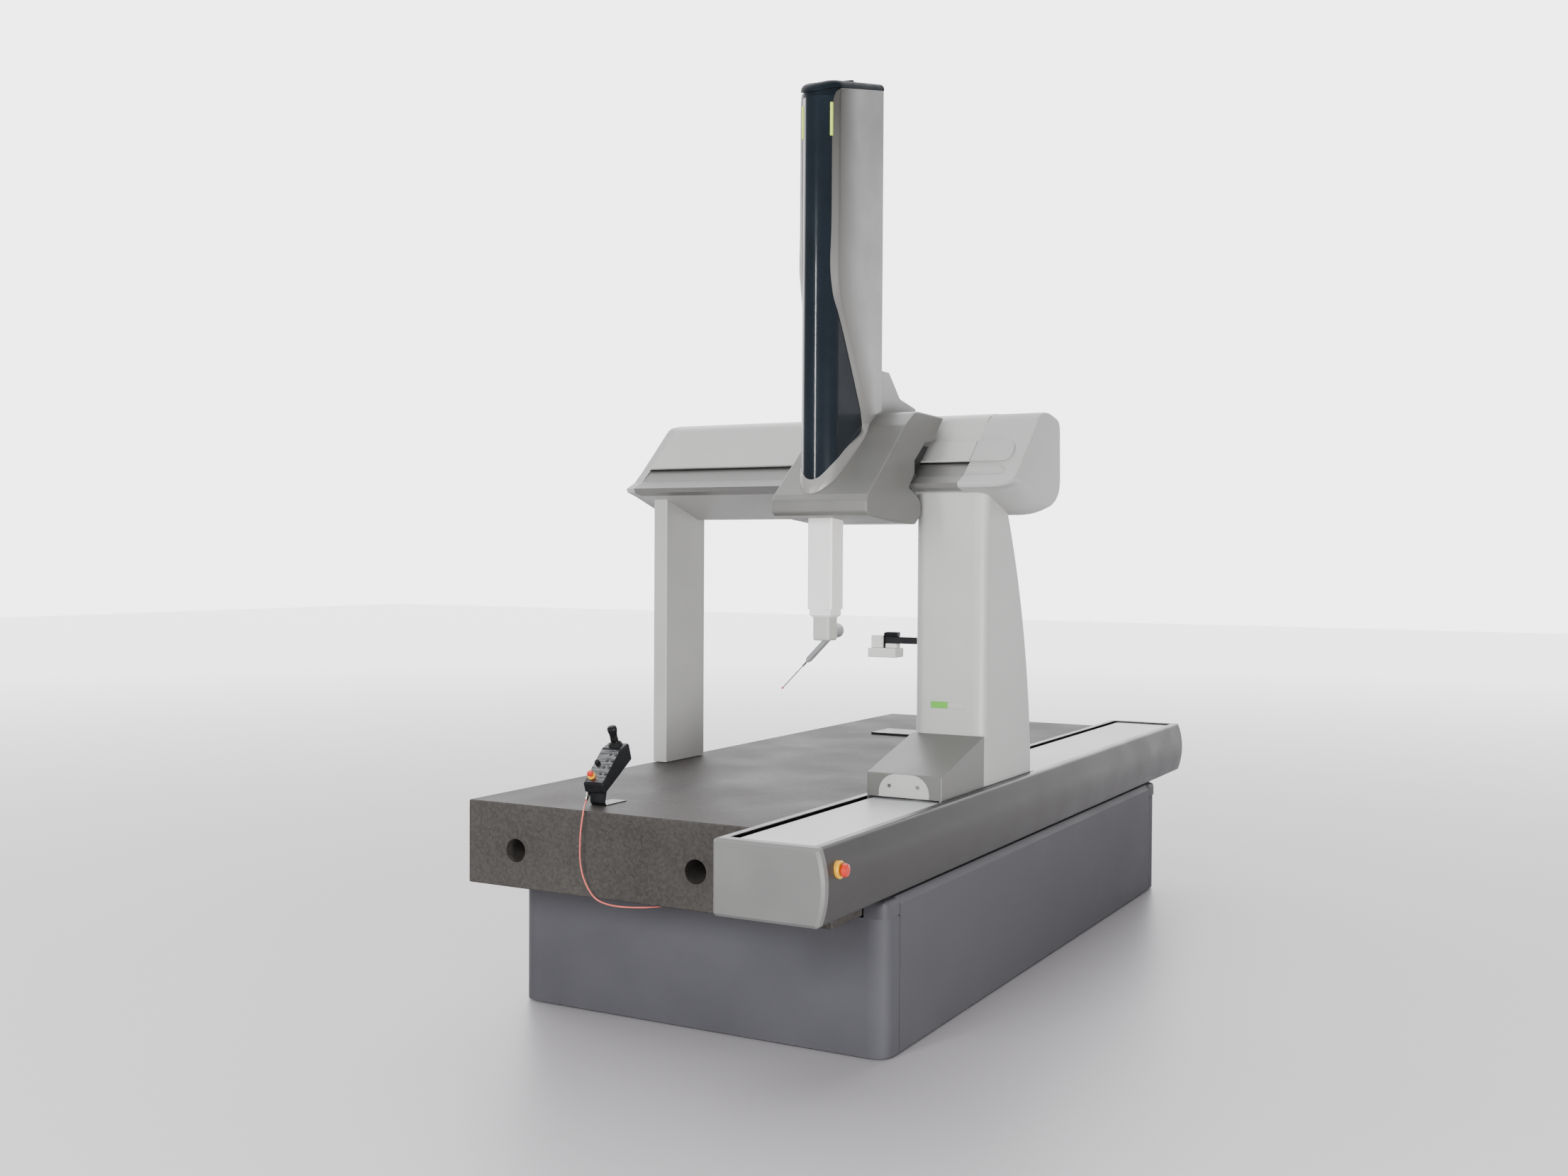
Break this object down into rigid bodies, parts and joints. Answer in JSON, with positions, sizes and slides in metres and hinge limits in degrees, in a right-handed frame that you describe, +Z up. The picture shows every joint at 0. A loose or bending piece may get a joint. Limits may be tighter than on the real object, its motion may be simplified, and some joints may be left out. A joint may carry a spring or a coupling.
{
  "type": "bridge coordinate measuring machine",
  "caption": "Moving-bridge coordinate measuring machine with a granite table, a covered side guide, a tall ram tower, an indexing probe head and a hand control",
  "frame": {"origin": "on the floor under the middle of the bounding box", "axes": "+Z up, +Y from the operator's end to the far end, +X across the machine towards its covered guide"},
  "size_m": [1.565, 3.77, 3.1765],
  "materials": {
    "white_cover": "satin white paint over sheet and moulded covers",
    "grey_plastic": "light grey moulded plastic with a fine grain",
    "dark_panel": "dark grey moulded plastic",
    "granite": "lapped dark granite",
    "skirt_paint": "light grey powder coat",
    "frame_paint": "grey powder coat on welded tube",
    "machined_aluminium": "milled and anodised aluminium",
    "black_metal": "black anodised or painted metal",
    "ground_steel": "ground steel",
    "band_steel": "white coated steel band",
    "belt_rubber": "black toothed belt rubber",
    "isolator_rubber": "black rubber",
    "red_button": "red moulded plastic",
    "yellow_base": "yellow moulded plastic",
    "black_plastic": "black moulded plastic",
    "control_case": "grey moulded case with a light face",
    "cable_jacket": "orange cable jacket",
    "ram_white": "white coated ram",
    "nickel": "nickel plated brass",
    "probe_grey": "grey anodised probe parts"
  },
  "bodies": {
    "base": {"base_frame": "frame_paint", "levelling_feet": "ground_steel", "isolators": "isolator_rubber", "front_skirt": "skirt_paint", "rear_skirt": "skirt_paint", "right_skirt": "skirt_paint", "left_skirt": "skirt_paint", "granite_table": "granite", "rail_cover": "white_cover", "rail_front_cap": "grey_plastic", "rail_rear_cap": "grey_plastic", "rail_band": "band_steel", "stop_base": "yellow_base", "y_belt": "belt_rubber", "y_motor": "black_metal", "y_idler_mount": "machined_aluminium", "hand_case": "control_case", "hand_stand": "black_metal", "rack_stand": "black_metal", "stored_sensor": "grey_plastic", "hand_cable": "cable_jacket", "hand_plug": "nickel", "cable_gland": "black_plastic", "hand_keys": "grey_plastic"},
    "cover_stop": {"stop_button": "red_button"},
    "drive_pulley": {"y_drive_pulley": "machined_aluminium"},
    "idler_pulley": {"y_idler_pulley": "machined_aluminium"},
    "bridge": {"y_saddle": "machined_aluminium", "y_air_pads": "machined_aluminium", "right_column": "white_cover", "column_rear_cover": "grey_plastic", "column_shroud": "white_cover", "hatch_plate": "white_cover", "left_leg": "white_cover", "leg_air_pads": "machined_aluminium", "beam_cover": "white_cover", "beam": "machined_aluminium", "beam_ledge": "white_cover", "beam_left_cap": "grey_plastic", "beam_right_cap": "grey_plastic"},
    "carriage": {"carriage_cover": "white_cover", "x_saddle": "black_metal", "x_air_pads": "machined_aluminium", "ram_housing": "machined_aluminium", "tower_front_panel": "dark_panel", "tower_collar": "grey_plastic", "tower_left_cover": "white_cover", "tower_right_cover": "white_cover", "tower_rear_cover": "white_cover", "tower_top_cap": "dark_panel", "carriage_hump": "grey_plastic"},
    "quill": {"ram": "ram_white", "ram_end_plate": "black_metal"},
    "head": {"head_body": "probe_grey"},
    "probe": {"head_tilt": "probe_grey", "probe_body": "black_metal", "stylus": "ground_steel"},
    "joystick": {"stick": "black_plastic"},
    "hand_stop": {"hand_stop_button": "red_button"},
    "speed_knob": {"hand_knob": "black_plastic"}
  },
  "joints": [
    {"name": "bridge_travel", "type": "slide", "parent": "base", "child": "bridge", "axis": [0, 1, 0], "range_m": [-0.6, 1.4]},
    {"name": "drive_pulley_turn", "type": "hinge", "parent": "base", "child": "drive_pulley", "pos_m": [0.6795, -1.72, 0.622], "axis": [1, 0, 0], "range_deg": [-2700, 2700]},
    {"name": "idler_pulley_turn", "type": "hinge", "parent": "base", "child": "idler_pulley", "pos_m": [0.6795, 1.72, 0.622], "axis": [1, 0, 0], "range_deg": [-2700, 2700]},
    {"name": "carriage_travel", "type": "slide", "parent": "bridge", "child": "carriage", "axis": [1, 0, 0], "range_m": [-0.79, 0.11]},
    {"name": "ram_travel", "type": "slide", "parent": "carriage", "child": "quill", "axis": [0, 0, 1], "range_m": [-0.31, 0.33]},
    {"name": "head_turn", "type": "hinge", "parent": "quill", "child": "head", "pos_m": [0.2125, -0.899, 1.29], "axis": [0, 0, 1], "range_deg": [-180, 180]},
    {"name": "probe_tilt", "type": "hinge", "parent": "head", "child": "probe", "pos_m": [0.2125, -0.8637, 1.249], "axis": [0, 1, 0], "range_deg": [-135, 45]},
    {"name": "cover_stop_press", "type": "slide", "parent": "base", "child": "cover_stop", "axis": [-1, 0, 0], "range_m": [0, 0.004], "stiffness_N_per_m": 900},
    {"name": "joystick_tilt", "type": "hinge", "parent": "base", "child": "joystick", "pos_m": [-0.2735, -1.44595, 0.89036], "axis": [1, 0, 0], "range_deg": [-12, 12], "stiffness_Nm_per_rad": 0.4},
    {"name": "hand_stop_press", "type": "slide", "parent": "base", "child": "hand_stop", "axis": [0, 0.7037, -0.7105], "range_m": [0, 0.004], "stiffness_N_per_m": 600},
    {"name": "speed_knob_turn", "type": "hinge", "parent": "base", "child": "speed_knob", "pos_m": [-0.2935, -1.51301, 0.83086], "axis": [0, -0.7037, 0.7105], "range_deg": [-135, 135]}
  ],
  "couplings": [
    {"joint": "drive_pulley_turn", "follows": "bridge_travel", "rad_per_m": 31.447},
    {"joint": "idler_pulley_turn", "follows": "bridge_travel", "rad_per_m": 31.447}
  ]
}
